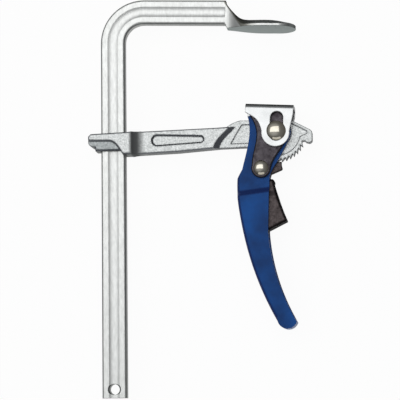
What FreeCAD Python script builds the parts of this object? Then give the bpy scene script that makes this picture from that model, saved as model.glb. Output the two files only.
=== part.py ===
import FreeCAD
import Part
import math
import os

# One-handed lever clamp, lying on its side.
# The rail stands along +Y, the arms reach along +X, and +Z points up from the clamp's flat side.
# The origin is the middle of the hanging hole. All lengths are in millimetres, all angles in degrees.

# Rail: a bent bar with a hollow groove in both wide faces
rail_width = 17.0
rail_thickness = 8.5
rail_corner = 1.7
rail_tail = 6.0
rail_straight = 241.5
rail_end_chamfer = 2.2
bend_radius = 21.5
toe_in = 2.2
bar_length = 57.0
groove_width = 7.4
groove_depth = 0.8
hole_diameter = 7.2
hole_chamfer = 0.9

# Fixed jaw: a flat oval pad, forged in one with the rail
jaw_length = 49.5
jaw_width = 28.6
jaw_drop = 2.8
jaw_rim = 1.5
jaw_crown = 6.2
jaw_tip_crown = 2.2
jaw_heel = 1.6
pad_overlap = 0.4

# Sliding arm: a forging with a collar for the rail and a thin head for the lever
arm_rest = 170.0
slide_clearance = 0.3
collar_nose = 8.6
collar_back_wall = 3.7
collar_front_wall = 4.9
collar_top = 6.9
collar_drop = 5.0
collar_cover = 4.25
collar_recess = 1.7
collar_edge_round = 1.2
collar_tier_round = 1.4
collar_corner = 1.8
band_back_height = 2.0
band_turn = 9.2
band_foot = 1.3
foot_slant = 1.4
arm_thickness = 11.5
arm_edge_round = 1.0
arm_root_top = 7.9
arm_root_bottom = 7.8
arm_neck_top = 9.5
arm_neck_bottom = 5.0
arm_belly = 0.6
beam_overlap = 2.0
arm_ramp_length = 6.6
arm_pocket_depth = 1.6
arm_pocket_slope = 0.9
arm_pocket_start = 27.0
arm_pocket_end = 64.0
arm_pocket_root_height = 8.3
arm_pocket_tip_height = 5.4
step_slant = 10.2
step_run = 4.2
head_thickness = 7.0
head_start = 71.0
head_top = 14.1
head_shoulder = 8.4
head_crest = 18.0
head_slope_start = 10.3
head_rim = 3.0
head_recess = 0.7
head_boss_radius = 10.0
hook_reach = 24.3
hook_top = 1.3
hook_drop = 7.9
hook_width = 4.3
hook_round = 2.3

# Ratchet: a toothed sector on the arm's head, concentric with the main pin
pin_reach = 114.3
pin_rise = 5.3
tooth_tip_radius = 20.35
tooth_depth = 1.95
tooth_pitch = 8.56
tooth_count = 10
first_tooth = -29.9
tooth_undercut = 0.6
tooth_land = 0.9
sector_rim = 2.2
sector_tail = 15.0

# Pins and the sleeve the pawl turns on
main_pin_diameter = 8.0
main_head_diameter = 13.2
main_head_height = 3.2
lower_pin_diameter = 6.0
lower_head_diameter = 10.2
lower_head_height = 2.7
lower_pin_back = 11.07
lower_pin_drop = 25.09
sleeve_wall = 1.4
running_fit = 0.05
slot_fit = 0.15
pin_hole_fit = 0.1

# Lever: a sheet steel channel, its flanges on both sides of the arm's head
sheet = 2.0
side_gap = 0.3
flange_radius = 9.7
flange_back = 18.9
flange_nose = 20.0
flange_nose_rise = 11.1
flange_inset = 0.6
flare_drop = 36.0
flare_length = 6.5
flare_slant = 7.0
web_drop = 27.0
shoulder_back = 27.8
shoulder_drop = 32.0
throat_front = 5.5
throat_drop = 33.0

# Handle: a bowed grip that tapers towards its tip
handle_width = 18.0
handle_corner = 2.6
handle_start = 41.0
handle_length = 135.6
handle_tip_rise = 4.6
handle_bow = 173.0
handle_bow_start = 46.0
handle_set = 16.9
handle_root_depth = 22.2
handle_tip_depth = 12.9

# Cheeks: hardened cam plates on the outside of the flanges
cheek_thickness = 2.5
cheek_radius = 8.2
cheek_tip_radius = 6.7
cheek_edge = 0.7
cheek_waist = 13.9
cheek_nose = 18.1
cam_step = 5.7
cam_height = 15.75
cam_open = 60.0
cam_closed = 20.0

# Pressure plate: a folded saddle that the cams lift
plate_gauge = 2.5
plate_clearance = 0.35
plate_tilt = 3.3
plate_back = 22.0
plate_front = 11.1
plate_bend = 4.0
plate_edge = 0.5
plate_lobe_radius = 9.6
plate_lobe_drop = 1.3
plate_lobe_set = 0.5
plate_skirt = 12.3
slot_top = 9.0
slot_bottom = 2.3

# Release trigger, its pawl, rivet and spring, all set out from the lower pin
trigger_sheet = 1.2
trigger_gap = 0.2
trigger_width = 12.4
trigger_hub = 5.6
trigger_flare_drop = 14.4
trigger_flare_length = 6.0
trigger_mouth = 7.5
trigger_reach = 17.0
trigger_nose_drop = 35.5
trigger_nose_round = 1.5
trigger_length = 44.7
trigger_heel = 0.8
pawl_clearance = 0.3
pawl_hub = 6.4
pawl_reach = 14.3
pawl_belly = 3.9
pawl_tail = 3.1
rivet_diameter = 3.0
rivet_drop = 8.6
rivet_side = 1.4
spring_drop = 21.9
spring_diameter = 6.0
spring_wire = 0.9
spring_turns = 7
spring_seat_gap = 0.3

# Distances that follow from the sizes above
handle_end = handle_length - handle_tip_rise
collar_back = rail_width / 2 + collar_nose
collar_front = rail_width / 2 + collar_front_wall
collar_half = rail_thickness / 2 + collar_cover
arm_half = arm_thickness / 2
head_half = head_thickness / 2
flange_inner = head_half + side_gap
flange_outer = flange_inner + sheet
cheek_outer = flange_outer + cheek_thickness
plate_inner = cheek_outer + side_gap
plate_outer = plate_inner + plate_gauge
main_head_seat = plate_outer + side_gap
pin_x = pin_reach
pin_y = arm_rest + pin_rise
lower_pin = (-lower_pin_back, -lower_pin_drop)
rivet = (rivet_side - lower_pin_back, -rivet_drop - lower_pin_drop)
sleeve_radius = lower_pin_diameter / 2 + running_fit + sleeve_wall
trigger_inner = flange_inner - trigger_gap - trigger_sheet
trigger_ears = trigger_inner + trigger_sheet


def vector(x, y, z=0.0):
    return FreeCAD.Vector(x, y, z)


def polar(radius, angle, centre=(0.0, 0.0)):
    turn = math.radians(angle)
    return (centre[0] + radius * math.cos(turn), centre[1] + radius * math.sin(turn))


# A closed wire from a start point and steps: ("line", end), ("arc", through, end) or ("curve", points).
# place turns an in-plane pair into a point in space.
def outline(start, steps, place):
    edges = []
    here = start
    for step in steps:
        kind = step[0]
        if kind == "line":
            edges.append(Part.LineSegment(place(*here), place(*step[1])).toShape())
            here = step[1]
        elif kind == "arc":
            edges.append(Part.Arc(place(*here), place(*step[1]), place(*step[2])).toShape())
            here = step[2]
        else:
            spline = Part.BSplineCurve()
            spline.interpolate([place(*here)] + [place(*point) for point in step[1]])
            edges.append(spline.toShape())
            here = step[1][-1]
    if math.dist(here, start) > 1e-6:
        edges.append(Part.LineSegment(place(*here), place(*start)).toShape())
    return Part.Wire(edges)


# A plate between two heights, from an outline seen from above.
def slab(start, steps, low, high):
    wire = outline(start, steps, lambda x, y: vector(x, y, low))
    return Part.Face(wire).extrude(vector(0, 0, high - low))


def polygon_steps(points):
    return [("line", point) for point in points]


def cylinder(radius, low, high, centre=(0.0, 0.0)):
    return Part.makeCylinder(radius, high - low, vector(centre[0], centre[1], low))


def mirrored(shape):
    return shape.mirror(vector(0, 0, 0), vector(0, 0, 1))


# Points at given shares of the way across and up from one point to another.
def between(start, end, shares):
    wide = end[0] - start[0]
    tall = end[1] - start[1]
    return [(start[0] + wide * across, start[1] + tall * up) for across, up in shares]


# Where a row of points that runs downwards passes a height.
def crossing(points, height):
    for upper, lower in zip(points, points[1:]):
        if lower[1] <= height <= upper[1]:
            return upper[0] + (lower[0] - upper[0]) * (height - upper[1]) / (lower[1] - upper[1])


# A smooth step between two levels, flat at both ends.
def smooth_step(start, end, place):
    middle = (start[0] + end[0]) / 2
    poles = [start, (middle, start[1]), (middle, end[1]), end]
    curve = Part.BezierCurve()
    curve.setPoles([place(*pole) for pole in poles])
    return curve.toShape()


def round_edges(shape, radius, chosen):
    return shape.makeFillet(radius, [edge for edge in shape.Edges if chosen(edge)])


def break_edges(shape, width, chosen):
    return shape.makeChamfer(width, [edge for edge in shape.Edges if chosen(edge)])


# Rail and fixed jaw

# The bar's section with its rounded corners, standing across the rail at a given height.
def rail_section(height):
    half = rail_width / 2
    side = rail_thickness / 2
    r = rail_corner
    mid = r * (1 - math.sqrt(0.5))

    def place(x, z):
        return vector(x, height, z)

    return outline((half - r, side), [
        ("line", (-half + r, side)),
        ("arc", (-half + mid, side - mid), (-half, side - r)),
        ("line", (-half, -side + r)),
        ("arc", (-half + mid, -side + mid), (-half + r, -side)),
        ("line", (half - r, -side)),
        ("arc", (half - mid, -side + mid), (half, -side + r)),
        ("line", (half, side - r)),
        ("arc", (half - mid, side - mid), (half - r, side)),
    ], place)


# The rail's centreline from one height on the straight, round the bend and some way along the bar.
def rail_path(from_height, along_bar):
    turn = math.radians(90 + toe_in)

    def on_bend(angle):
        across = bend_radius - bend_radius * math.cos(angle)
        return vector(across, rail_straight + bend_radius * math.sin(angle))

    end = on_bend(turn)
    ahead = vector(math.cos(math.radians(toe_in)), -math.sin(math.radians(toe_in)))
    return Part.Wire([
        Part.LineSegment(vector(0, from_height), vector(0, rail_straight)).toShape(),
        Part.Arc(vector(0, rail_straight), on_bend(turn / 2), end).toShape(),
        Part.LineSegment(end, end + ahead * along_bar).toShape(),
    ])


def swept(path, section):
    return path.makePipeShell([section], True, False)


# The groove's section, a shallow hollow in one wide face.
def groove_section(height, side):
    half = groove_width / 2
    face = side * rail_thickness / 2
    floor = face - side * groove_depth
    above = face + side * groove_depth

    def place(x, z):
        return vector(x, height, z)

    return outline((-half, above), [
        ("line", (-half, face)),
        ("arc", (0, floor), (half, face)),
        ("line", (half, above)),
    ], place)


# The jaw is built along its own frame: u runs on from the bar, v stands square to the working face.
def jaw_frame():
    turn = math.radians(90 + toe_in)
    along = math.radians(-toe_in)
    x = bend_radius - bend_radius * math.cos(turn) + bar_length * math.cos(along)
    y = rail_straight + bend_radius * math.sin(turn) + bar_length * math.sin(along)
    return x, y


def into_jaw_frame(shape):
    moved = shape.copy()
    moved.rotate(vector(0, 0), vector(0, 0, 1), -toe_in)
    moved.translate(vector(*jaw_frame()))
    return moved


def jaw_pad():
    bar_top = rail_width / 2
    face = -rail_width / 2 - jaw_drop
    rim_top = face + jaw_rim
    crown_top = face + jaw_crown
    tip_top = face + jaw_tip_crown
    narrow = rail_thickness / 2
    wide = jaw_width / 2
    # Each station: shares of the jaw's length, of its widening, of the rim's fall and of the crown's fall
    stations = [
        (0.00, 0.00, 0.03, 0.00),
        (0.08, 0.10, 0.40, 0.44),
        (0.15, 0.29, 0.66, 0.71),
        (0.23, 0.54, 0.93, 0.92),
        (0.32, 0.77, 1.00, 0.99),
        (0.46, 0.97, 1.00, 1.00),
        (0.64, 1.00, 1.00, 1.00),
    ]
    sections = []
    for share, widening, rim_fall, crown_fall in stations:
        half = narrow + (wide - narrow) * widening
        rim = bar_top + (rim_top - bar_top) * rim_fall
        crown = bar_top + (crown_top - bar_top) * crown_fall
        sections.append((share * jaw_length, half, rim, crown))
    sections.append((0.84 * jaw_length, wide, rim_top, (crown_top * 0.6 + tip_top * 0.4)))
    sections.append((jaw_length, wide, rim_top, tip_top))
    wires = []
    for along, half, rim, crown in sections:
        def place(z, v, u=along):
            return vector(u, v, z)
        wires.append(outline((-half, face - 1), [
            ("line", (half, face - 1)),
            ("line", (half, rim)),
            ("arc", (0, crown), (-half, rim)),
            ("line", (-half, face - 1)),
        ], place))
    body = Part.makeLoft(wires, True, False)

    # The oval plan, which also trims the working face flat
    def plan(u, z):
        return vector(u, face, z)

    tip_start = jaw_length - wide * 1.05
    oval = Part.Face(outline((-1, -wide - 1), [
        ("line", (tip_start, -wide - 1)),
        ("line", (tip_start, -wide)),
        ("curve", [(jaw_length - wide * 0.28, -wide * 0.72), (jaw_length, 0),
                   (jaw_length - wide * 0.28, wide * 0.72), (tip_start, wide)]),
        ("line", (tip_start, wide + 1)),
        ("line", (-1, wide + 1)),
    ], plan))
    body = body.common(oval.extrude(vector(0, rail_width + jaw_drop + 2, 0)))

    # The heel, where the pad drops below the bar's underside
    heel = Part.Face(outline((-1, face - 1), polygon_steps([
        (jaw_heel, face - 1), (jaw_heel, face), (jaw_heel - 0.9, -rail_width / 2), (-1, -rail_width / 2)]),
        lambda u, v: vector(u, v, -jaw_width)))
    return body.cut(heel.extrude(vector(0, 0, 2 * jaw_width)))


def bent_rail():
    bar = swept(rail_path(-rail_tail, bar_length + pad_overlap), rail_section(-rail_tail))
    below = -rail_tail - 1
    for side in (1, -1):
        bar = bar.cut(swept(rail_path(below, bar_length + pad_overlap), groove_section(below, side)))
    half = rail_width / 2
    for side in (1, -1):
        corner = slab((side * half, -rail_tail), polygon_steps([
            (side * half, -rail_tail + rail_end_chamfer),
            (side * (half + 1), -rail_tail + rail_end_chamfer + 1),
            (side * (half + 1), -rail_tail - 1),
            (side * (half - rail_end_chamfer - 1), -rail_tail - 1),
            (side * (half - rail_end_chamfer), -rail_tail),
        ]), -rail_thickness, rail_thickness)
        bar = bar.cut(corner)
    rail = bar.fuse(into_jaw_frame(jaw_pad())).removeSplitter()
    radius = hole_diameter / 2
    rail = rail.cut(cylinder(radius, -rail_thickness, rail_thickness))
    for side in (1, -1):
        cone = Part.makeCone(radius + 2 * hole_chamfer, radius, 2 * hole_chamfer,
                             vector(0, 0, side * (rail_thickness / 2 + hole_chamfer)), vector(0, 0, -side))
        rail = rail.cut(cone)
    return rail


# Sliding arm, drawn with the rail's centre as its origin

# Heights of the arm's upper and lower edge, which both climb towards the head.
def arm_upper(x):
    share = (x - collar_front) / (head_start - collar_front)
    return arm_root_top + (arm_neck_top - arm_root_top) * share


def arm_lower(x):
    share = (x - collar_front) / (head_start - collar_front)
    return -arm_root_bottom + (arm_root_bottom - arm_neck_bottom) * share


# One tooth after another round the main pin: a steep flank that the pawl bears on and a long back.
def sector_teeth():
    root = tooth_tip_radius - tooth_depth
    points = []
    for number in range(tooth_count):
        tip = first_tooth - number * tooth_pitch
        points.append(polar(tooth_tip_radius, tip + tooth_land / 2))
        points.append(polar(tooth_tip_radius, tip - tooth_land / 2))
        points.append(polar(root, tip - tooth_land / 2 + tooth_undercut))
    return points


# The thin head, drawn about the main pin's axis, from the neck over the crest to the hook and the teeth.
def arm_head():
    top = head_top - pin_rise
    neck = head_start - pin_reach
    neck_top = arm_neck_top - pin_rise
    bottom = -arm_neck_bottom - pin_rise
    root = tooth_tip_radius - tooth_depth
    last = first_tooth - tooth_count * tooth_pitch
    hook_end = hook_top - hook_round
    steps = [
        ("line", (neck, neck_top)),
        ("line", (neck + head_shoulder, neck_top + 0.04 * head_shoulder)),
        ("curve", [(neck + 0.67 * head_crest, top - 0.43 * (top - neck_top)), (neck + head_crest, top)]),
        ("line", (head_slope_start, top - 0.08 * head_slope_start)),
        ("line", (hook_reach - 0.65 * hook_round, hook_top)),
        ("arc", (hook_reach - 0.18 * hook_round, hook_top - 0.43 * hook_round), (hook_reach, hook_end)),
        ("line", (hook_reach, hook_round - hook_drop)),
        ("arc", (hook_reach - 0.3 * hook_round, 0.3 * hook_round - hook_drop),
         (hook_reach - hook_round, -hook_drop)),
        ("line", (hook_reach - hook_width, -hook_drop + 0.22 * hook_round)),
        ("arc", polar(root + 0.25 * tooth_depth, (first_tooth + tooth_pitch) * 0.94),
         polar(root, first_tooth + 0.93 * tooth_pitch)),
    ]
    steps += polygon_steps(sector_teeth())
    steps += [
        ("line", polar(root, last + 0.4 * tooth_pitch)),
        ("curve", [(-sector_tail, bottom - 0.17 * root), (-1.4 * sector_tail, bottom + 0.02 * root)]),
    ]
    head = slab((neck, bottom), steps, -head_half, head_half)

    # A shallow recess inside a raised rim, on both sides, round a boss for the pin
    inner = root - sector_rim
    recess_steps = [
        ("line", (neck + head_crest + 0.3 * head_rim, top - head_rim)),
        ("line", (head_slope_start, top - head_rim)),
        ("line", (hook_reach - 1.2 * head_rim, hook_end + 0.43 * head_rim)),
        ("line", (hook_reach - 1.2 * head_rim, hook_end - 0.13 * head_rim)),
        ("line", polar(inner, -12.0)),
        ("arc", polar(inner, -66.0), polar(inner, -120.0)),
        ("line", (-1.33 * sector_tail, bottom + head_rim)),
    ]
    start = (neck + step_slant + 0.3 * head_rim, bottom + head_rim)
    boss = cylinder(head_boss_radius, -head_half, head_half)
    for low, high in ((head_half - head_recess, head_half + 1), (-head_half - 1, -head_half + head_recess)):
        head = head.cut(slab(start, recess_steps, low, high).cut(boss))
    head.translate(vector(pin_reach, pin_rise))
    return head


# The flank between the collar and the head, which ramps down to the head along a slanted line.
def arm_beam():
    root = collar_front - arm_edge_round - beam_overlap
    belly = (collar_front + head_start + 0.1 * head_start) / 2

    def side(at_z, ramp):
        foot = head_start + ramp
        return outline((root, arm_lower(root)), [
            ("line", (belly, arm_lower(belly) - arm_belly)),
            ("line", (foot - 1.0, -arm_neck_bottom)),
            ("curve", [(foot + 0.02 * step_slant, -0.32 * arm_neck_bottom),
                       (foot + 0.63 * step_slant, 0.59 * arm_neck_top),
                       (foot + step_slant, 1.01 * arm_neck_top)]),
            ("line", (root, arm_upper(root))),
        ], lambda x, y: vector(x, y, at_z))

    def long_edge(edge):
        box = edge.BoundBox
        return box.ZMin > arm_half - 0.01 and box.XLength > arm_edge_round * 10

    core = Part.Face(side(-head_half, step_run)).extrude(vector(0, 0, head_thickness))
    ramp = Part.makeLoft([side(head_half, step_run), side(arm_half, 0.0)], True, True)
    ramp = round_edges(ramp, arm_edge_round, long_edge)
    return core.fuse([ramp, mirrored(ramp)])


# A tapered hollow with round ends, its walls sloping in towards the floor.
def arm_pocket():
    root_radius = arm_pocket_root_height / 2
    tip_radius = arm_pocket_tip_height / 2
    root_x = arm_pocket_start + root_radius
    tip_x = arm_pocket_end - tip_radius
    root_y = (arm_upper(root_x) + arm_lower(root_x)) / 2 + 0.1 * arm_pocket_root_height
    tip_y = (arm_upper(tip_x) + arm_lower(tip_x)) / 2 - 0.05 * arm_pocket_tip_height

    def ring(at_z, inset):
        r1 = root_radius - inset
        r2 = tip_radius - inset
        return outline((root_x, root_y + r1), [
            ("arc", (root_x - r1, root_y), (root_x, root_y - r1)),
            ("line", (tip_x, tip_y - r2)),
            ("arc", (tip_x + r2, tip_y), (tip_x, tip_y + r2)),
            ("line", (root_x, root_y + r1)),
        ], lambda x, y: vector(x, y, at_z))

    over = 0.2
    spread = arm_pocket_slope * over / arm_pocket_depth
    return Part.makeLoft([
        ring(arm_half - arm_pocket_depth, arm_pocket_slope),
        ring(arm_half + over, -spread),
    ], True, True)


# The collar: a lower body round the rail and a proud band over its upper part.
def arm_collar():
    back = -collar_back
    lower_back = -rail_width / 2 - collar_back_wall
    foot = rail_width / 2 + foot_slant - band_foot
    body = slab((back, collar_top - collar_corner), [
        ("line", (back, 0.45 * band_back_height)),
        ("arc", (back + 0.5 * collar_corner, -0.5 * band_back_height),
         (back + 1.9 * collar_corner, -band_back_height)),
        ("line", (lower_back - 0.1 * collar_back_wall, -1.3 * band_back_height)),
        ("line", (lower_back, -collar_drop)),
        ("line", (foot - foot_slant, -collar_drop)),
        ("line", (foot, -arm_root_bottom)),
        ("line", (collar_front, -arm_root_bottom)),
        ("line", (collar_front, arm_root_top)),
        ("line", (back + collar_corner, collar_top)),
    ], -collar_half + collar_recess, collar_half - collar_recess)

    def on_tier(edge):
        box = edge.BoundBox
        on_face = box.ZLength < 0.01 and abs(abs(box.ZMin) - collar_half + collar_recess) < 0.01
        return on_face and box.YMax < -band_back_height + 0.01 and box.XMax < foot + 0.01

    body = round_edges(body, collar_tier_round, on_tier)
    turn_end = foot - foot_slant
    turn_start = turn_end - band_turn
    turn_top = 0.85 * band_back_height
    turn_depth = turn_top + arm_root_bottom
    band = slab((back, collar_top - collar_corner), [
        ("line", (back, 1.7 * band_back_height)),
        ("arc", (back + 0.33 * collar_corner, 1.15 * band_back_height),
         (back + collar_corner, band_back_height)),
        ("line", (turn_start, turn_top)),
        ("curve", [(turn_start + 0.43 * band_turn, turn_top - 0.22 * turn_depth),
                   (turn_start + 0.78 * band_turn, turn_top - 0.66 * turn_depth),
                   (turn_end, -arm_root_bottom)]),
        ("line", (collar_front, -arm_root_bottom)),
        ("line", (collar_front, arm_root_top)),
        ("line", (back + collar_corner, collar_top)),
    ], 0, collar_half)

    def on_top(edge):
        box = edge.BoundBox
        return box.ZMin > collar_half - 0.01 and box.XMin < collar_front - 0.1

    band = round_edges(band, collar_edge_round, on_top)

    # The hollow ramp from the collar's face down to the arm's flank
    inside = collar_front - 1.0
    reach = collar_front + arm_ramp_length
    below = -2 * arm_root_bottom
    ramp = Part.Face(outline((inside, 0), [
        ("line", (inside, collar_half)),
        ("line", (collar_front, collar_half)),
        ("arc", (collar_front + 0.32 * arm_ramp_length, arm_half + 0.32 * (collar_half - arm_half)),
         (reach, arm_half)),
        ("line", (reach, 0)),
    ], lambda x, z: vector(x, below, z))).extrude(vector(0, 2 * (arm_root_top + arm_root_bottom), 0))
    side = slab((inside, -arm_root_bottom), polygon_steps([
        (reach, arm_lower(reach)),
        (reach, arm_upper(reach)),
        (inside, arm_root_top),
    ]), 0, collar_half)
    ramp = ramp.common(side)
    return body.fuse([band, mirrored(band), ramp, mirrored(ramp)])


def sliding_arm():
    arm = arm_collar().fuse([arm_beam(), arm_head()]).removeSplitter()
    pocket = arm_pocket()
    arm = arm.cut(pocket).cut(mirrored(pocket))
    width = rail_width / 2 + slide_clearance
    thickness = rail_thickness / 2 + slide_clearance
    tall = collar_top + collar_drop + arm_root_top + arm_root_bottom
    window = Part.makeBox(2 * width, 2 * tall, 2 * thickness, vector(-width, -tall, -thickness))
    arm = arm.cut(window)
    bore = main_pin_diameter / 2 + running_fit
    arm = arm.cut(cylinder(bore, -head_thickness, head_thickness, (pin_reach, pin_rise)))
    arm.translate(vector(0, arm_rest))
    return arm


# Lever, cheeks and pressure plate are drawn about the main pin's axis and moved into place.

def onto_main_pin(shape):
    shape.translate(vector(pin_x, pin_y))
    return shape


# The cam's edge is an involute, so a flat plate on it rises in proportion to the lever's turn.
# Each point is where the plate would touch with the lever turned by angle, inset along the contact normal.
def cam_point(angle, inset=0.0):
    turn = math.radians(angle)
    height = cam_height + cam_step * turn - inset
    x = -cam_step * math.cos(turn) - height * math.sin(turn)
    y = -cam_step * math.sin(turn) + height * math.cos(turn)
    return (x, y)


def cam_curve(inset):
    count = 8
    span = cam_open + cam_closed
    return [cam_point(cam_closed - span * number / count, inset) for number in range(count + 1)]


# A point on the handle's back (side -1) or front (side 1), at a share of its length.
def handle_point(share, side):
    drop = handle_start + (handle_end - handle_start) * share
    bow = handle_bow - math.sqrt(handle_bow ** 2 - (drop - handle_bow_start) ** 2)
    depth = handle_tip_depth + (handle_root_depth - handle_tip_depth) * (1 - share) ** 2
    return (-handle_set + bow + side * depth / 2, -drop)


def handle_edge(side, shares):
    return [handle_point(share, side) for share in shares]


# Back of the lever, from the web's shoulder to the tip of the handle
def lever_back():
    return [(-shoulder_back, -shoulder_drop)] + handle_edge(-1, (0.0, 0.2, 0.48, 0.75, 1.0))


# The round end of the handle: a point on it, and where it meets the front.
def handle_tip():
    back = handle_point(1.0, -1)
    front = handle_point(1.0, 1)
    return ((back[0] + front[0]) / 2 - 0.05 * handle_tip_depth, -handle_length), front


# The same curve moved sideways, square to itself.
def moved_aside(points, distance):
    moved = []
    for number, point in enumerate(points):
        before = points[max(0, number - 1)]
        after = points[min(len(points) - 1, number + 1)]
        length = math.dist(before, after)
        moved.append((point[0] - (after[1] - before[1]) / length * distance,
                      point[1] + (after[0] - before[0]) / length * distance))
    return moved


def lever_side(low, high):
    cam = cam_curve(flange_inset)
    step = shoulder_back - flange_back
    back = lever_back()
    tip, tip_end = handle_tip()
    throat = (-throat_front, -throat_drop)
    chin = polar(flange_radius, -25)
    return slab((-flange_nose, flange_nose_rise), [
        ("curve", [(-flange_back + 0.02 * step, 0.4 * flange_nose_rise),
                   (-flange_back, -0.06 * shoulder_drop),
                   (-flange_back - 0.23 * step, -0.41 * shoulder_drop),
                   (-flange_back - 0.59 * step, -0.8 * shoulder_drop)]),
        ("line", back[0]),
        ("curve", back[1:]),
        ("arc", tip, tip_end),
        ("curve", handle_edge(1, (0.82, 0.64, 0.47, 0.31))),
        ("line", throat),
        ("curve", between(throat, chin, [(0.06, 0.15), (0.36, 0.41), (0.75, 0.75), (1.0, 1.0)])),
        ("arc", polar(flange_radius, 10), polar(flange_radius, 45)),
        ("line", cam[-1]),
        ("curve", cam[-2::-1]),
    ], low, high)


# Seen from the handle's front, a channel is narrow above and steps out to its full width below a height.
def channel_space(top, step_height, step_length, narrow, wide, bottom, lean):
    far = 2 * shoulder_back
    rise = far * math.tan(math.radians(lean))

    def place(y, z):
        return vector(-far, y - rise, z)

    def half(side):
        low = step_height - step_length
        return [
            Part.LineSegment(place(top, side * narrow), place(step_height, side * narrow)).toShape(),
            smooth_step((step_height, side * narrow), (low, side * wide), place),
            Part.LineSegment(place(low, side * wide), place(bottom, side * wide)).toShape(),
        ]

    ends = [
        Part.LineSegment(place(top, narrow), place(top, -narrow)).toShape(),
        Part.LineSegment(place(bottom, wide), place(bottom, -wide)).toShape(),
    ]
    wire = Part.Wire(Part.__sortEdges__(half(1) + half(-1) + ends))
    return Part.Face(wire).extrude(vector(2 * far, 2 * rise, 0))


def lever_space(narrow, wide):
    top = 2 * flange_nose
    bottom = -handle_length - 2 * handle_width
    return channel_space(top, -flare_drop, flare_length, narrow, wide, bottom, flare_slant)


def lever_shell():
    half = handle_width / 2
    far = 2 * shoulder_back
    outside = lever_side(-half, half).common(lever_space(flange_outer, half))

    def along_back(edge, side):
        box = edge.BoundBox
        on_side = abs(box.ZMin - side) < 0.01 and box.ZLength < 0.01
        middle = edge.valueAt((edge.FirstParameter + edge.LastParameter) / 2)
        return on_side and box.YLength > handle_width and middle.x < -throat_front - handle_tip_depth / 2

    for side in (-half, half):
        outside = round_edges(outside, handle_corner, lambda edge: along_back(edge, side))
    back = moved_aside(lever_back(), sheet)
    tip, tip_end = handle_tip()
    floor_end = (tip_end[0] - 0.5 * sheet, tip_end[1] + 1.2 * sheet)
    hollow = slab((-far, 2 * flange_nose), [
        ("line", (-far, -web_drop)),
        ("line", (back[0][0], -web_drop)),
        ("line", back[0]),
        ("curve", back[1:]),
        ("arc", (tip[0] - 0.3 * sheet, tip[1] + 1.1 * sheet), floor_end),
        ("line", (far, floor_end[1])),
        ("line", (far, 2 * flange_nose)),
    ], -half + sheet, half - sheet).common(lever_space(flange_inner, half - sheet))
    shell = outside.cut(hollow)
    shell = shell.cut(cylinder(main_pin_diameter / 2 + pin_hole_fit, -half, half))
    shell = shell.cut(cylinder(lower_pin_diameter / 2 + running_fit, -half, half, lower_pin))
    return onto_main_pin(shell)


def cam_cheek(side):
    cam = cam_curve(0.0)
    nose = (-cheek_nose, flange_nose_rise)
    waist = (-cheek_waist, -0.04 * cheek_waist)
    heel = polar(cheek_tip_radius, 160, lower_pin)
    toe = polar(cheek_tip_radius, -14, lower_pin)
    chin = polar(cheek_radius, -40)
    back = between(nose, waist, [(0.7, 0.49), (1.0, 1.0)]) + between(waist, heel, [(0.35, 0.43), (1.0, 1.0)])
    cheek = slab(nose, [
        ("curve", back),
        ("arc", polar(cheek_tip_radius, 253, lower_pin), toe),
        ("curve", between(toe, chin, [(0.29, 0.39), (0.66, 0.66), (1.0, 1.0)])),
        ("arc", polar(cheek_radius, -10), polar(cheek_radius, 20)),
        ("line", cam[-1]),
        ("curve", cam[-2::-1]),
    ], flange_outer, cheek_outer)
    cheek = break_edges(cheek, cheek_edge, lambda edge: edge.BoundBox.ZMin > cheek_outer - 0.01)
    cheek = cheek.cut(cylinder(main_pin_diameter / 2 + pin_hole_fit, 0, cheek_outer + 1))
    cheek = cheek.cut(cylinder(lower_pin_diameter / 2 + running_fit, 0, cheek_outer + 1, lower_pin))
    if side < 0:
        cheek = mirrored(cheek)
    return onto_main_pin(cheek)


# The saddle is drawn level and then tilted about the pin, as the workpiece left it.
def pressure_plate():
    underside = cam_height + plate_clearance
    top = underside + plate_gauge
    below = -2 * plate_lobe_radius

    def place(z, v):
        return vector(-plate_back - 1, v, z)

    def fold(width, height, radius, floor):
        mid = radius * (1 - math.sqrt(0.5))
        face = Part.Face(outline((-width, floor), [
            ("line", (-width, height - radius)),
            ("arc", (-width + mid, height - mid), (-width + radius, height)),
            ("line", (width - radius, height)),
            ("arc", (width - mid, height - mid), (width, height - radius)),
            ("line", (width, floor)),
        ], place))
        return face.extrude(vector(plate_back + plate_front + 2, 0, 0))

    hollow = fold(plate_inner, underside, plate_bend - plate_gauge, below - 1)
    channel = fold(plate_outer, top, plate_bend, below).cut(hollow)
    lobe = (-plate_lobe_set, -plate_lobe_drop)
    heel = (-plate_back, plate_skirt)
    waist = polar(plate_lobe_radius, 176, lobe)
    side = slab((-plate_back, top), [
        ("line", heel),
        ("curve", between(heel, waist, [(0.3, 0.15), (0.65, 0.36), (0.89, 0.69), (1.0, 1.0)])),
        ("arc", polar(plate_lobe_radius, 270, lobe), polar(plate_lobe_radius, 10, lobe)),
        ("line", (plate_front, plate_skirt)),
        ("line", (plate_front, top)),
    ], -plate_outer, plate_outer)
    plate = channel.common(side)
    radius = main_pin_diameter / 2 + slot_fit
    slot = slab((-radius, slot_top), [
        ("line", (-radius, -slot_bottom)),
        ("arc", (0, -slot_bottom - radius), (radius, -slot_bottom)),
        ("line", (radius, slot_top)),
        ("arc", (0, slot_top + radius), (-radius, slot_top)),
    ], -plate_outer - 1, plate_outer + 1)
    plate = plate.cut(slot)

    def slot_rim(edge):
        box = edge.BoundBox
        on_wing = box.ZLength < 0.01 and abs(abs(box.ZMin) - plate_outer) < 0.01
        within = max(abs(box.XMin), abs(box.XMax)) < radius + 0.01
        return on_wing and within and box.YMin > -slot_bottom - radius - 0.01

    plate = break_edges(plate, plate_edge, slot_rim)
    plate.rotate(vector(0, 0), vector(0, 0, 1), -plate_tilt)
    return onto_main_pin(plate)


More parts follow.
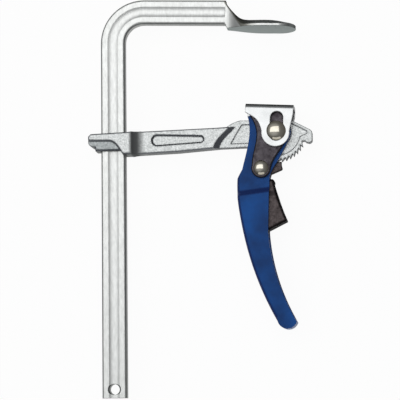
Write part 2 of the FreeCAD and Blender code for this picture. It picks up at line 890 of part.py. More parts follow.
# Half a section of a headed pin, turned about its axis: a shank with a round-topped head at each end.
def headed_pin(shank_diameter, head_diameter, head_height, seat):
    shank = shank_diameter / 2
    head = head_diameter / 2
    rim = seat + 0.25 * head_height
    crown = seat + head_height
    rise = crown - rim
    dome = (head ** 2 + rise ** 2) / (2 * rise)
    half_turn = math.asin(head / dome) / 2
    through = (dome * math.sin(half_turn), crown - dome * (1 - math.cos(half_turn)))

    def place(r, z):
        return vector(r, 0, z)

    profile = outline((0, -crown), [
        ("arc", (through[0], -through[1]), (head, -rim)),
        ("line", (head, -seat)),
        ("line", (shank, -seat)),
        ("line", (shank, seat)),
        ("line", (head, seat)),
        ("line", (head, rim)),
        ("arc", through, (0, crown)),
    ], place)
    return Part.Face(profile).revolve(vector(0, 0), vector(0, 0, 1), 360)


def main_pin():
    return onto_main_pin(headed_pin(main_pin_diameter, main_head_diameter, main_head_height, main_head_seat))


def lower_pin_rivet():
    pin = headed_pin(lower_pin_diameter, lower_head_diameter, lower_head_height, cheek_outer)
    pin.translate(vector(*lower_pin))
    return onto_main_pin(pin)


# The sleeve keeps the flanges apart and carries the pawl and the trigger.
def pawl_sleeve():
    bore = lower_pin_diameter / 2 + running_fit
    sleeve = cylinder(sleeve_radius, -flange_inner, flange_inner, lower_pin)
    return onto_main_pin(sleeve.cut(cylinder(bore, -flange_inner, flange_inner, lower_pin)))


# The pawl and the trigger are set out from the lower pin: across towards the front, and up.
def from_lower_pin(across, up):
    return (lower_pin[0] + across, lower_pin[1] + up)


# The pawl: a thick plate whose nose stands at the sector's tooth tips.
def pawl():
    reach = tooth_tip_radius + pawl_clearance
    body = slab(polar(reach, -82.3), [
        ("curve", [from_lower_pin(0.97 * pawl_reach, 0.54 * pawl_belly),
                   from_lower_pin(pawl_reach, 0.13 * pawl_belly)]),
        ("arc", from_lower_pin(0.99 * pawl_reach, -0.13 * pawl_belly),
         from_lower_pin(0.94 * pawl_reach, -0.28 * pawl_belly)),
        ("line", from_lower_pin(0.47 * pawl_reach, -pawl_belly)),
        ("line", polar(pawl_tail, 0, rivet)),
        ("arc", polar(pawl_tail, -70, rivet), polar(pawl_tail, -150, rivet)),
        ("line", polar(pawl_hub, 215, lower_pin)),
        ("arc", polar(pawl_hub, 140, lower_pin), polar(pawl_hub, 68, lower_pin)),
        ("line", polar(reach + 0.25 * tooth_depth, -90.6)),
        ("line", polar(reach, -85.6)),
    ], -trigger_inner, trigger_inner)
    body = body.cut(cylinder(sleeve_radius + running_fit, -trigger_inner, trigger_inner, lower_pin))
    body = body.cut(cylinder(rivet_diameter / 2, -trigger_inner, trigger_inner, rivet))
    return onto_main_pin(body)


# Trigger: a drawn sheet steel pan, open towards the handle, with two ears on the sleeve.

def trigger_point(across, down):
    return from_lower_pin(across * trigger_reach, -down * trigger_nose_drop)


# The pan's front, from its mouth down to the nose.
def trigger_front():
    return [trigger_point(across, down) for across, down in
            ((0.5, 0.21), (0.516, 0.313), (0.66, 0.552), (0.839, 0.809), (1.0, 1.0))]


def trigger_outside(low, high):
    front = trigger_front()
    nose = front[-1]
    mouth = -trigger_mouth
    return slab(polar(trigger_hub, 0, lower_pin), [
        ("line", from_lower_pin(0.85 * trigger_hub, 0.6 * mouth)),
        ("line", from_lower_pin(0.8 * trigger_hub, mouth)),
        ("line", from_lower_pin(0.44 * trigger_reach, mouth)),
        ("arc", from_lower_pin(0.49 * trigger_reach, 1.08 * mouth), front[1]),
        ("curve", front[2:]),
        ("arc", (nose[0] + 0.07 * trigger_nose_round, nose[1] - 0.53 * trigger_nose_round),
         (nose[0] - 0.47 * trigger_nose_round, nose[1] - trigger_nose_round)),
        ("line", from_lower_pin(trigger_heel, -trigger_length)),
        ("curve", [from_lower_pin(-0.137 * trigger_reach, -0.714 * trigger_length),
                   from_lower_pin(-0.278 * trigger_reach, -0.356 * trigger_length),
                   polar(trigger_hub, 180, lower_pin)]),
        ("arc", polar(trigger_hub, 90, lower_pin), polar(trigger_hub, 0, lower_pin)),
    ], low, high)


# The space inside the pan, which runs on behind it and up between the ears.
def trigger_inside(low, high):
    far = -2 * trigger_length
    front = moved_aside(trigger_front(), -trigger_sheet)
    nose = trigger_front()[-1]
    brow = lower_pin[1] - trigger_mouth - trigger_sheet
    floor = lower_pin[1] - trigger_length + trigger_sheet
    ears_end = lower_pin[0] + trigger_hub
    return slab((far, 0), [
        ("line", (far, floor)),
        ("line", (lower_pin[0] + trigger_heel, floor + 0.15 * trigger_sheet)),
        ("line", (nose[0] - 1.2 * trigger_sheet, nose[1] - 0.87 * trigger_nose_round + 0.9 * trigger_sheet)),
        ("line", front[4]),
        ("curve", [front[3], front[2], front[1]]),
        ("line", (front[1][0] - 0.67 * trigger_sheet, brow)),
        ("line", (ears_end, brow)),
        ("line", (ears_end, 0)),
    ], low, high)


def trigger_space(narrow, wide):
    bottom = lower_pin[1] - 2 * trigger_length
    return channel_space(0, lower_pin[1] - trigger_flare_drop, trigger_flare_length, narrow, wide, bottom, 0)


def release_trigger():
    half = trigger_width / 2
    outside = trigger_outside(-half, half).common(trigger_space(trigger_ears, half))
    inside = trigger_inside(-half, half).common(trigger_space(trigger_inner, half - trigger_sheet))
    body = outside.cut(inside)
    body = body.cut(cylinder(sleeve_radius + running_fit, -half, half, lower_pin))
    body = body.cut(cylinder(rivet_diameter / 2, -half, half, rivet))
    return onto_main_pin(body)


def trigger_rivet():
    return onto_main_pin(cylinder(rivet_diameter / 2, -trigger_ears, trigger_ears, rivet))


# A compression spring between the handle's web and the inside of the trigger.
def trigger_spring():
    height = lower_pin[1] - spring_drop
    radius = (spring_diameter - spring_wire) / 2
    seat = crossing(moved_aside(lever_back(), sheet), height - spring_diameter / 2)
    front = crossing(moved_aside(trigger_front(), -trigger_sheet), height + spring_diameter / 2)
    start = seat + spring_seat_gap + spring_wire / 2
    end = front - spring_seat_gap - spring_wire / 2
    helix = Part.makeHelix((end - start) / spring_turns, end - start, radius)
    ring = Part.Wire(Part.makeCircle(spring_wire / 2, vector(radius, 0, 0), vector(0, 1, 0)))
    coil = Part.Wire(helix).makePipeShell([ring], True, True)
    coil.rotate(vector(0, 0), vector(0, 1, 0), 90)
    coil.translate(vector(start, height, 0))
    return onto_main_pin(coil)


pieces = {
    "bent_rail": bent_rail,
    "sliding_arm": sliding_arm,
    "lever_shell": lever_shell,
    "cheek_front": lambda: cam_cheek(1),
    "cheek_back": lambda: cam_cheek(-1),
    "pressure_plate": pressure_plate,
    "main_pin": main_pin,
    "lower_pin": lower_pin_rivet,
    "pawl_sleeve": pawl_sleeve,
    "pawl": pawl,
    "release_trigger": release_trigger,
    "trigger_rivet": trigger_rivet,
    "trigger_spring": trigger_spring,
}

os.makedirs("parts", exist_ok=True)
for name, make in pieces.items():
    shape = make()
    print(name, "valid", shape.isValid(), "solids", len(shape.Solids), "volume", round(shape.Volume, 1))
    shape.exportStep("parts/" + name + ".step")
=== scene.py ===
import math

import bmesh
import bpy
from mathutils import Matrix, Vector


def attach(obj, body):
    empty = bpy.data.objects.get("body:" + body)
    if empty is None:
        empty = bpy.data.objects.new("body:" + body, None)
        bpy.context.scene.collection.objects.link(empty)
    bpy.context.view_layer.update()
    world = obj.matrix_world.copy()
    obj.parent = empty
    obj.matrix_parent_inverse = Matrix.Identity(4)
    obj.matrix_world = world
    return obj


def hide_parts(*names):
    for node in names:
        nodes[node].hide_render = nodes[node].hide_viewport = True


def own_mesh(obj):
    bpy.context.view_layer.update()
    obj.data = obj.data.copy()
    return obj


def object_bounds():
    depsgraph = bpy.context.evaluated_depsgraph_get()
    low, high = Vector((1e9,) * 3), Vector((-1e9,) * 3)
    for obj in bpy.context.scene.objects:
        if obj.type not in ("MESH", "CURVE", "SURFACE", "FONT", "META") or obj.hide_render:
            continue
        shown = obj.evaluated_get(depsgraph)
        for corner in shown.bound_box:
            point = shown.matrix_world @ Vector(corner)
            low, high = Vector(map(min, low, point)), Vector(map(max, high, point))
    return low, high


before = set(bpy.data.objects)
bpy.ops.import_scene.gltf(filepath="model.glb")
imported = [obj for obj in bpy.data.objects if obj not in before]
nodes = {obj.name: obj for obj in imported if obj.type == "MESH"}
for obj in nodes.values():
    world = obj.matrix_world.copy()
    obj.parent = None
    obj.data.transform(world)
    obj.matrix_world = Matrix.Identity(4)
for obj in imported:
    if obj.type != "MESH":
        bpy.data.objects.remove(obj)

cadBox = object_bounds()


# Camera: the photo looks down on the clamp from a little right of the rail's foot
cameraSettings = {
    "place": (0.2, -0.01005, 1.22809),
    "aim": (0.05999, 0.12985, 0.0),
    "roll": -0.62,
    "lens": 161.69,
    "sensor": 36.0,
    "near": 0.05,
    "far": 20.0,
}


def makeCamera(settings):
    place = Vector(settings["place"])
    ahead = (Vector(settings["aim"]) - place).normalized()
    right = ahead.cross(Vector((0, 1, 0))).normalized()
    up = right.cross(ahead)
    turn = math.radians(settings["roll"])
    rolledRight = right * math.cos(turn) + up * math.sin(turn)
    rolledUp = up * math.cos(turn) - right * math.sin(turn)
    lens = bpy.data.cameras.new("camera")
    lens.lens = settings["lens"]
    lens.sensor_width = settings["sensor"]
    lens.clip_start = settings["near"]
    lens.clip_end = settings["far"]
    camera = bpy.data.objects.new("camera", lens)
    turnMatrix = Matrix((rolledRight, rolledUp, -ahead)).transposed().to_4x4()
    camera.matrix_world = Matrix.Translation(place) @ turnMatrix
    bpy.context.scene.collection.objects.link(camera)
    bpy.context.scene.camera = camera


makeCamera(cameraSettings)
print("camera placed")


# Shader helpers
def newMaterial(name):
    material = bpy.data.materials.new(name)
    material.use_nodes = True
    tree = material.node_tree
    shader = tree.nodes["Principled BSDF"]
    return material, tree, shader


def addNode(tree, kind, **settings):
    node = tree.nodes.new(kind)
    for name, value in settings.items():
        if name in node.inputs:
            node.inputs[name].default_value = value
        else:
            setattr(node, name, value)
    return node


def mapRange(tree, source, fromLow, fromHigh, toLow, toHigh):
    node = addNode(tree, "ShaderNodeMapRange")
    tree.links.new(source, node.inputs["Value"])
    node.inputs["From Min"].default_value = fromLow
    node.inputs["From Max"].default_value = fromHigh
    node.inputs["To Min"].default_value = toLow
    node.inputs["To Max"].default_value = toHigh
    return node.outputs["Result"]


def combine(tree, operation, first, second):
    node = addNode(tree, "ShaderNodeMath", operation=operation)
    tree.links.new(first, node.inputs[0])
    tree.links.new(second, node.inputs[1])
    return node.outputs[0]


def mixColour(tree, factor, first, second, blend="MIX"):
    node = addNode(tree, "ShaderNodeMix", data_type="RGBA", blend_type=blend)
    for source, socket in ((factor, node.inputs[0]), (first, node.inputs[6]), (second, node.inputs[7])):
        if isinstance(source, bpy.types.NodeSocket):
            tree.links.new(source, socket)
        elif isinstance(source, tuple):
            socket.default_value = (*source, 1.0)
        else:
            socket.default_value = source
    return node.outputs[2]


def newGroup(name, inputs, outputs):
    group = bpy.data.node_groups.new(name, "ShaderNodeTree")
    for way, sockets in (("INPUT", inputs), ("OUTPUT", outputs)):
        for socket, kind in sockets:
            group.interface.new_socket(socket, in_out=way, socket_type="NodeSocket" + kind)
    return group, group.nodes.new("NodeGroupInput"), group.nodes.new("NodeGroupOutput")


# Group: cloudy tone and fine grain of plated or forged steel, in object metres
mottleSettings = {
    "cloud": {"Detail": 3.0, "Roughness": 0.55},
    "grain": {"Detail": 5.0, "Roughness": 0.65},
}


def makeMottleGroup(settings):
    group, inside, outside = newGroup(
        "platedMottle",
        (("Cloud Scale", "Float"), ("Grain Scale", "Float"), ("Stretch", "Vector")),
        (("Cloud", "Float"), ("Grain", "Float")))
    place = addNode(group, "ShaderNodeTexCoord")
    stretch = addNode(group, "ShaderNodeVectorMath", operation="MULTIPLY")
    group.links.new(place.outputs["Object"], stretch.inputs[0])
    group.links.new(inside.outputs["Stretch"], stretch.inputs[1])
    cloud = addNode(group, "ShaderNodeTexNoise", **settings["cloud"])
    grain = addNode(group, "ShaderNodeTexNoise", **settings["grain"])
    group.links.new(stretch.outputs[0], cloud.inputs["Vector"])
    group.links.new(stretch.outputs[0], grain.inputs["Vector"])
    group.links.new(inside.outputs["Cloud Scale"], cloud.inputs["Scale"])
    group.links.new(inside.outputs["Grain Scale"], grain.inputs["Scale"])
    group.links.new(cloud.outputs["Fac"], outside.inputs["Cloud"])
    group.links.new(grain.outputs["Fac"], outside.inputs["Grain"])
    return group


# Group: Mask is 1 on the corners, where a rounded normal leaves the true one, and Flat is 1
# on the faces that lie level or stand upright and 0 on the slopes between them; the materials use Mask
# for painted outlines and highlights on corners, and Flat for painted shade on slopes
edgeSettings = {"samples": 6, "cornerBand": (0.995, 0.9), "upright": (0.25, 0.1)}


def makeEdgeGroup(settings):
    group, inside, outside = newGroup(
        "edgeShadeAndHighlight",
        (("Radius", "Float"), ("Steep", "Float"), ("Level", "Float")),
        (("Mask", "Float"), ("Flat", "Float"), ("Normal", "Vector")))
    rounded = addNode(group, "ShaderNodeBevel", samples=settings["samples"])
    group.links.new(inside.outputs["Radius"], rounded.inputs["Radius"])
    true = addNode(group, "ShaderNodeNewGeometry")
    dot = addNode(group, "ShaderNodeVectorMath", operation="DOT_PRODUCT")
    group.links.new(rounded.outputs["Normal"], dot.inputs[0])
    group.links.new(true.outputs["Normal"], dot.inputs[1])
    mask = mapRange(group, dot.outputs["Value"], *settings["cornerBand"], 0.0, 1.0)
    group.links.new(mask, outside.inputs["Mask"])
    split = addNode(group, "ShaderNodeSeparateXYZ")
    group.links.new(rounded.outputs["Normal"], split.inputs[0])
    level = addNode(group, "ShaderNodeMath", operation="ABSOLUTE")
    group.links.new(split.outputs["Z"], level.inputs[0])
    flat = addNode(group, "ShaderNodeMapRange")
    group.links.new(level.outputs[0], flat.inputs["Value"])
    group.links.new(inside.outputs["Steep"], flat.inputs["From Min"])
    group.links.new(inside.outputs["Level"], flat.inputs["From Max"])
    side = mapRange(group, level.outputs[0], *settings["upright"], 0.0, 1.0)
    group.links.new(combine(group, "MAXIMUM", flat.outputs["Result"], side), outside.inputs["Flat"])
    group.links.new(rounded.outputs["Normal"], outside.inputs["Normal"])
    return group


mottleGroup = makeMottleGroup(mottleSettings)
edgeGroup = makeEdgeGroup(edgeSettings)


def addGroup(tree, group, **values):
    node = tree.nodes.new("ShaderNodeGroup")
    node.node_tree = group
    for name, value in values.items():
        node.inputs[name.replace("_", " ")].default_value = value
    return node


def addBump(tree, shader, height, normal, strength, distance):
    bump = addNode(tree, "ShaderNodeBump")
    bump.inputs["Strength"].default_value = strength
    bump.inputs["Distance"].default_value = distance
    tree.links.new(height, bump.inputs["Height"])
    tree.links.new(normal, bump.inputs["Normal"])
    tree.links.new(bump.outputs["Normal"], shader.inputs["Normal"])


# Where along a direction a point of the piece lies, in metres
def addAlong(tree, direction):
    place = addNode(tree, "ShaderNodeTexCoord")
    along = addNode(tree, "ShaderNodeVectorMath", operation="DOT_PRODUCT")
    tree.links.new(place.outputs["Object"], along.inputs[0])
    along.inputs[1].default_value = direction
    return along.outputs["Value"]


# Where a mask is 1, the tone is multiplied by a tint
def tinted(tree, mask, tone, tint):
    return mixColour(tree, mask, tone, mixColour(tree, 1.0, tone, tint, "MULTIPLY"))


# Where a mask is 1, the tone and the roughness are those of the settings
def retoneAndRoughen(tree, mask, tone, rough, settings):
    coarse = addNode(tree, "ShaderNodeMix", data_type="FLOAT")
    tree.links.new(mask, coarse.inputs[0])
    tree.links.new(rough, coarse.inputs[2])
    coarse.inputs[3].default_value = settings["rough"]
    return mixColour(tree, mask, tone, settings["tone"]), coarse.outputs[0]


# At the height of the collar's lower tier the tone is darkened by a tint, painted shade under the proud
# tier above it
def addTier(tree, tone, settings):
    height = addNode(tree, "ShaderNodeMath", operation="ABSOLUTE")
    tree.links.new(addAlong(tree, (0.0, 0.0, 1.0)), height.inputs[0])
    low, high = settings["heights"]
    rise = mapRange(tree, height.outputs[0], low - settings["soft"], low, 0.0, 1.0)
    fall = mapRange(tree, height.outputs[0], high, high + settings["soft"], 1.0, 0.0)
    return tinted(tree, combine(tree, "MULTIPLY", rise, fall), tone, settings["tint"])


# A band across a piece takes a tone and a roughness of its own, fully across its width and softly beyond
# it: dark on the arm's ramp beside the collar, painted shade, and lighter on the trigger's front slope,
# painted light
def addHollow(tree, tone, rough, settings):
    along = addAlong(tree, settings["along"])
    rise = mapRange(tree, along, *settings["rise"], 0.0, 1.0)
    fall = mapRange(tree, along, *settings["fall"], 1.0, 0.0)
    return retoneAndRoughen(tree, combine(tree, "MULTIPLY", rise, fall), tone, rough, settings)


# The jaw's neck is creased where the bar's flat face ends, and behind the crease the tone is darkened,
# painted shade
def addCrease(tree, tone, settings):
    start = settings["at"]
    across = addAlong(tree, settings["across"])
    behind = mapRange(tree, across, start, start + settings["soft"], 0.0, 1.0)
    fade = mapRange(tree, addAlong(tree, (1.0, 0.0, 0.0)), *settings["fade"], 1.0, 0.0)
    return tinted(tree, combine(tree, "MULTIPLY", behind, fade), tone, settings["tint"])


# A face turned one way, on part of a piece, takes a tone of its own and is coarser: the jaw's flat pad
# is darker, and the plate's cut side is lighter, painted light
def addFacingTone(tree, tone, rough, settings):
    true = addNode(tree, "ShaderNodeNewGeometry")
    facing = addNode(tree, "ShaderNodeVectorMath", operation="DOT_PRODUCT")
    tree.links.new(true.outputs["Normal"], facing.inputs[0])
    facing.inputs[1].default_value = settings["facing"]
    face = mapRange(tree, facing.outputs["Value"], *settings["turn"], 0.0, 1.0)
    beyond = mapRange(tree, addAlong(tree, (1.0, 0.0, 0.0)), *settings["beyond"], 0.0, 1.0)
    return retoneAndRoughen(tree, combine(tree, "MULTIPLY", face, beyond), tone, rough, settings)


# The trigger's folded rim is darkened to near black, painted shade, along its bowed front, its foot and
# its brow
def addRim(tree, tone, settings):
    place = addNode(tree, "ShaderNodeTexCoord")
    bow = addNode(tree, "ShaderNodeVectorMath", operation="DISTANCE")
    flat = addNode(tree, "ShaderNodeVectorMath", operation="MULTIPLY")
    tree.links.new(place.outputs["Object"], flat.inputs[0])
    flat.inputs[1].default_value = (1.0, 1.0, 0.0)
    tree.links.new(flat.outputs[0], bow.inputs[0])
    bow.inputs[1].default_value = settings["bowCentre"]
    inner, outer = settings["widths"]
    radius = settings["bow"]
    mask = mapRange(tree, bow.outputs["Value"], radius + inner, radius + outer, 1.0, 0.0)
    for direction, end in settings["ends"]:
        rim = mapRange(tree, addAlong(tree, direction), end - outer, end - inner, 0.0, 1.0)
        mask = combine(tree, "MAXIMUM", mask, rim)
    return tinted(tree, mask, tone, settings["tint"])


# Plated steel: one recipe, with settings for each piece
noiseSpread = (0.3, 0.7)


def makePlated(name, settings):
    material, tree, shader = newMaterial(name)
    mottle = addGroup(tree, mottleGroup, Cloud_Scale=settings["cloudScale"],
                      Grain_Scale=settings["grainScale"], Stretch=settings["stretch"])
    edge = addGroup(tree, edgeGroup, Radius=settings["edgeRadius"],
                    Steep=settings["steep"], Level=settings["level"])
    cloud = mapRange(tree, mottle.outputs["Cloud"], *noiseSpread, 0.0, 1.0)
    tone = mixColour(tree, cloud, settings["dark"], settings["light"])
    # Corners take the edge tone: dark on most pieces, painted shade, and light on the plate and the
    # spring, painted highlight. Slopes take the flank tone, painted shade
    tone = mixColour(tree, edge.outputs["Mask"], tone, settings["edge"])
    tone = mixColour(tree, edge.outputs["Flat"], settings["flank"], tone)
    rough = mapRange(tree, mottle.outputs["Grain"], *noiseSpread, *settings["rough"])
    if "tier" in settings:
        tone = addTier(tree, tone, settings["tier"])
    if "hollow" in settings:
        tone, rough = addHollow(tree, tone, rough, settings["hollow"])
    if "crease" in settings:
        tone = addCrease(tree, tone, settings["crease"])
    if "facingTone" in settings:
        tone, rough = addFacingTone(tree, tone, rough, settings["facingTone"])
    if "rim" in settings:
        tone = addRim(tree, tone, settings["rim"])
    tree.links.new(tone, shader.inputs["Base Color"])
    tree.links.new(rough, shader.inputs["Roughness"])
    shader.inputs["Metallic"].default_value = settings["metallic"]
    shader.inputs["Specular Tint"].default_value = (*settings["glance"], 1.0)
    addBump(tree, shader, mottle.outputs["Grain"], edge.outputs["Normal"],
            settings["bump"], settings["bumpDepth"])
    return material


# Rail: the crease tint is painted shade behind the jaw's neck crease, and the facing tone makes the
# jaw's flat pad darker and coarser
railSettings = {
    "flank": (0.15, 0.158, 0.155), "dark": (0.62, 0.63, 0.615), "light": (0.74, 0.75, 0.735),
    "edge": (0.18, 0.185, 0.18),
    "cloudScale": 620.0, "grainScale": 1600.0, "stretch": (1.0, 0.3, 1.0),
    "rough": (0.34, 0.46), "metallic": 0.9,
    "edgeRadius": 0.0006, "steep": 0.7, "level": 0.985,
    "glance": (0.14, 0.14, 0.14),
    "crease": {"across": (0.842, 0.537, 0.0), "at": 0.2097, "soft": 0.0007, "fade": (0.093, 0.102),
               "tint": (0.42, 0.41, 0.37)},
    "facingTone": {"facing": (-0.0384, -0.9993, 0.0), "turn": (0.9, 0.99), "beyond": (0.0785, 0.081),
               "tone": (0.46, 0.5, 0.49), "rough": 0.75},
    "bump": 0.3, "bumpDepth": 0.0001,
}
# Arm: the tier tint and the dark hollow tone on the ramp beside the collar are painted shade
armSettings = {
    "flank": (0.17, 0.178, 0.195), "dark": (0.33, 0.345, 0.34), "light": (0.62, 0.635, 0.63),
    "edge": (0.08, 0.085, 0.085),
    "cloudScale": 950.0, "grainScale": 1700.0, "stretch": (1.0, 1.0, 1.0),
    "rough": (0.26, 0.4), "metallic": 0.9,
    "edgeRadius": 0.0011, "steep": 0.92, "level": 0.997,
    "glance": (0.18, 0.18, 0.18),
    "tier": {"heights": (0.0064, 0.0071), "soft": 0.0004, "tint": (0.58, 0.6, 0.61)},
    "hollow": {"along": (1.0, 0.0, 0.0), "rise": (0.0112, 0.0136), "fall": (0.0168, 0.0222),
               "tone": (0.17, 0.175, 0.175), "rough": 0.8},
    "bump": 0.5, "bumpDepth": 0.00015,
}
# Plate: the facing tone lightens its cut side, painted light
plateSettings = {
    "flank": (0.05, 0.05, 0.05), "dark": (0.48, 0.49, 0.49), "light": (0.57, 0.58, 0.58),
    "edge": (0.8, 0.81, 0.81),
    "cloudScale": 120.0, "grainScale": 1200.0, "stretch": (1.0, 1.0, 1.0),
    "rough": (0.12, 0.2), "metallic": 0.95,
    "edgeRadius": 0.0008, "steep": 0.6, "level": 0.97,
    "glance": (0.1, 0.1, 0.1),
    "facingTone": {"facing": (1.0, -0.06, 0.0), "turn": (0.9, 0.99), "beyond": (0.0, 0.001),
               "tone": (0.75, 0.75, 0.75), "rough": 0.8},
    "bump": 0.2, "bumpDepth": 0.0001,
}
cheekSettings = {
    "flank": (0.02, 0.02, 0.02), "dark": (0.035, 0.03, 0.035), "light": (0.1, 0.09, 0.1),
    "edge": (0.03, 0.028, 0.03),
    "cloudScale": 260.0, "grainScale": 1400.0, "stretch": (1.0, 1.0, 1.0),
    "rough": (0.3, 0.5), "metallic": 0.8,
    "edgeRadius": 0.0006, "steep": 0.55, "level": 0.93,
    "glance": (0.2, 0.2, 0.2), "bump": 0.4, "bumpDepth": 0.00015,
}
pinSettings = {
    "flank": (0.17, 0.15, 0.105), "dark": (0.5, 0.47, 0.39), "light": (0.68, 0.65, 0.57),
    "edge": (0.1, 0.09, 0.07),
    "cloudScale": 200.0, "grainScale": 900.0, "stretch": (1.0, 1.0, 1.0),
    "rough": (0.06, 0.1), "metallic": 1.0,
    "edgeRadius": 0.0004, "steep": 0.7, "level": 0.93,
    "glance": (0.4, 0.35, 0.25), "bump": 0.15, "bumpDepth": 0.0001,
}
catchSettings = {
    "flank": (0.008, 0.007, 0.007), "dark": (0.04, 0.033, 0.033), "light": (0.1, 0.083, 0.083),
    "edge": (0.006, 0.005, 0.006),
    "cloudScale": 420.0, "grainScale": 1100.0, "stretch": (1.0, 1.0, 1.0),
    "rough": (0.35, 0.5), "metallic": 0.85,
    "edgeRadius": 0.001, "steep": 0.6, "level": 0.97,
    "glance": (0.05, 0.05, 0.05), "bump": 0.3, "bumpDepth": 0.0001,
}
# Trigger: the hollow tone lightens its front slope, painted light, and the rim tint is painted shade
triggerSettings = {
    **catchSettings,
    "hollow": {"along": (0.0, 1.0, 0.0), "rise": (0.1306, 0.1318), "fall": (0.1338, 0.135),
               "tone": (0.13, 0.11, 0.11), "rough": 0.85},
    "rim": {"bowCentre": (0.2824, 0.1833, 0.0), "bow": 0.176,
            "ends": (((0.447, -0.894, 0.0), -0.0478), ((0.0, 1.0, 0.0), 0.1427)),
            "widths": (0.0011, 0.002), "tint": (0.12, 0.12, 0.13)},
}
springSettings = {
    "flank": (0.2, 0.2, 0.2), "dark": (0.3, 0.3, 0.3), "light": (0.5, 0.5, 0.49),
    "edge": (0.6, 0.6, 0.6),
    "cloudScale": 300.0, "grainScale": 1500.0, "stretch": (1.0, 1.0, 1.0),
    "rough": (0.25, 0.35), "metallic": 1.0,
    "edgeRadius": 0.0001, "steep": 0.1, "level": 0.6,
    "glance": (0.5, 0.5, 0.5), "bump": 0.1, "bumpDepth": 0.00005,
}


# Lever paint: blue with a slow drift of tone and faint orange peel; darker on its slopes and in its
# fold, painted shade, and lighter along its corners, painted highlight
paintSettings = {
    "flank": (0.01, 0.027, 0.12), "dark": (0.005, 0.043, 0.175), "light": (0.006, 0.08, 0.32),
    "edge": (0.1, 0.22, 0.52),
    "spread": (0.35, 0.65), "cloudScale": 45.0, "peelScale": 700.0, "roughness": 0.38, "specular": 0.12,
    "edgeRadius": 0.0006, "steep": 0.88, "level": 0.994, "bump": 0.12, "bumpDepth": 0.0001,
}


def makePaint(name, settings):
    material, tree, shader = newMaterial(name)
    mottle = addGroup(tree, mottleGroup, Cloud_Scale=settings["cloudScale"],
                      Grain_Scale=settings["peelScale"], Stretch=(1.0, 1.0, 1.0))
    edge = addGroup(tree, edgeGroup, Radius=settings["edgeRadius"],
                    Steep=settings["steep"], Level=settings["level"])
    cloud = mapRange(tree, mottle.outputs["Cloud"], *settings["spread"], 0.0, 1.0)
    tone = mixColour(tree, cloud, settings["dark"], settings["light"])
    # Light blue corners are a painted highlight, and the flank tone on the slopes is painted shade
    tone = mixColour(tree, edge.outputs["Mask"], tone, settings["edge"])
    tone = mixColour(tree, edge.outputs["Flat"], settings["flank"], tone)
    tree.links.new(tone, shader.inputs["Base Color"])
    shader.inputs["Roughness"].default_value = settings["roughness"]
    shader.inputs["Specular IOR Level"].default_value = settings["specular"]
    addBump(tree, shader, mottle.outputs["Grain"], edge.outputs["Normal"],
            settings["bump"], settings["bumpDepth"])
    return material


def dress(thing, material):
    for slot in thing.material_slots:
        slot.material = material


pinSteel = makePlated("pinSteel", pinSettings)
cheekSteel = makePlated("cheekSteel", cheekSettings)
springSteel = makePlated("springSteel", springSettings)
dressing = {
    "bent_rail": makePlated("railSteel", railSettings),
    "sliding_arm": makePlated("armSteel", armSettings),
    "pressure_plate": makePlated("plateSteel", plateSettings),
    "cheek_front": cheekSteel,
    "cheek_back": cheekSteel,
    "main_pin": pinSteel,
    "lower_pin": pinSteel,
    "pawl_sleeve": pinSteel,
    "trigger_rivet": pinSteel,
    "pawl": makePlated("catchSteel", catchSettings),
    "release_trigger": makePlated("triggerSteel", triggerSettings),
    "lever_shell": makePaint("leverPaint", paintSettings),
}
for name, material in dressing.items():
    dress(nodes[name], material)
print("materials assigned")


# Spring: its solid again, as a coil carried by the lever
coilSettings = {
    "name": "springCoil", "node": "trigger_spring", "body": "lever", "slot": "spring_steel",
    "joint": "trigger_pull", "axis": (1.0, 0.0, 0.0), "keep": 0.8,
}


def makeCoil(settings, material):
    coil = bpy.data.objects.new(settings["name"], nodes[settings["node"]].data.copy())
    bpy.context.scene.collection.objects.link(coil)
    dress(coil, material)
    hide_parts(settings["node"])
    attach(coil, settings["body"])
    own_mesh(coil)


makeCoil(coilSettings, springSteel)
print("spring placed")


# Floor: pale, and white to the camera and to reflections, with the clamp's shadow kept
floorSettings = {"size": 12.0, "colour": (0.94, 0.94, 0.94), "roughness": 0.9, "lift": 0.95}


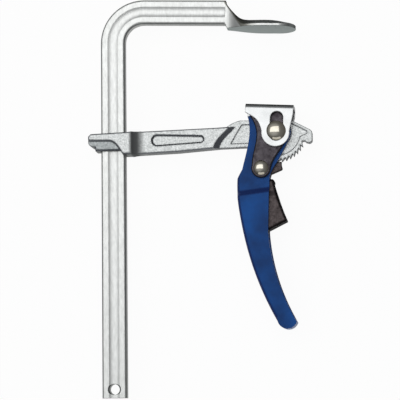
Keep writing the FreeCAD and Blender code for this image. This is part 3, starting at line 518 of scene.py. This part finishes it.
def makeFloor(settings):
    shape = bmesh.new()
    half = settings["size"] / 2
    low = cadBox[0][2]
    corners = ((-half, -half), (half, -half), (half, half), (-half, half))
    shape.faces.new([shape.verts.new((x, y, low)) for x, y in corners])
    mesh = bpy.data.meshes.new("floor")
    shape.to_mesh(mesh)
    shape.free()
    floor = bpy.data.objects.new("floor", mesh)
    bpy.context.scene.collection.objects.link(floor)
    material, tree, shader = newMaterial("floorPaper")
    shader.inputs["Base Color"].default_value = (*settings["colour"], 1.0)
    shader.inputs["Roughness"].default_value = settings["roughness"]
    glow = addNode(tree, "ShaderNodeEmission")
    glow.inputs["Color"].default_value = (1.0, 1.0, 1.0, 1.0)
    path = addNode(tree, "ShaderNodeLightPath")
    seen = path.outputs["Is Camera Ray"]
    for ray in ("Is Glossy Ray", "Is Transmission Ray"):
        seen = combine(tree, "MAXIMUM", seen, path.outputs[ray])
    part = addNode(tree, "ShaderNodeMath", operation="MULTIPLY")
    part.inputs[1].default_value = settings["lift"]
    tree.links.new(seen, part.inputs[0])
    mix = addNode(tree, "ShaderNodeMixShader")
    tree.links.new(part.outputs[0], mix.inputs[0])
    tree.links.new(shader.outputs[0], mix.inputs[1])
    tree.links.new(glow.outputs[0], mix.inputs[2])
    tree.links.new(mix.outputs[0], tree.nodes["Material Output"].inputs["Surface"])
    floor.data.materials.append(material)


makeFloor(floorSettings)


# World: a dim room with a soft glow round the overhead box
worldSettings = {
    "colour": (0.97, 0.98, 1.0), "glow": (-0.36, 0.21, 0.91),
    "lean": (0.55, 0.95), "strength": (0.22, 0.6),
}


def makeWorld(settings):
    world = bpy.data.worlds.new("studio")
    bpy.context.scene.world = world
    world.use_nodes = True
    tree = world.node_tree
    place = addNode(tree, "ShaderNodeTexCoord")
    lean = addNode(tree, "ShaderNodeVectorMath", operation="DOT_PRODUCT")
    tree.links.new(place.outputs["Generated"], lean.inputs[0])
    lean.inputs[1].default_value = settings["glow"]
    strength = mapRange(tree, lean.outputs["Value"], *settings["lean"], *settings["strength"])
    back = tree.nodes["Background"]
    back.inputs["Color"].default_value = (*settings["colour"], 1.0)
    tree.links.new(strength, back.inputs["Strength"])


makeWorld(worldSettings)


# Lamps: one wide soft box overhead, and a low strip in front
lampSettings = [
    {"name": "boxOverhead", "place": (-0.65, 0.79, 1.8), "aim": (-0.65, 0.79, 0.0),
     "size": (2.8, 1.6), "power": 17.0},
    {"name": "stripFront", "place": (0.1, -1.6, 0.9), "aim": (0.06, 0.13, 0.0),
     "size": (2.2, 0.9), "power": 6.0},
]


def makeLamp(settings):
    light = bpy.data.lights.new(settings["name"], "AREA")
    light.shape = "RECTANGLE"
    light.size, light.size_y = settings["size"]
    light.energy = settings["power"]
    lamp = bpy.data.objects.new(settings["name"], light)
    place = Vector(settings["place"])
    ahead = Vector(settings["aim"]) - place
    lamp.rotation_euler = ahead.to_track_quat("-Z", "Y").to_euler()
    lamp.location = place
    bpy.context.scene.collection.objects.link(lamp)


for lamp in lampSettings:
    makeLamp(lamp)
bpy.context.scene.view_settings.view_transform = "Standard"
print("studio lit")
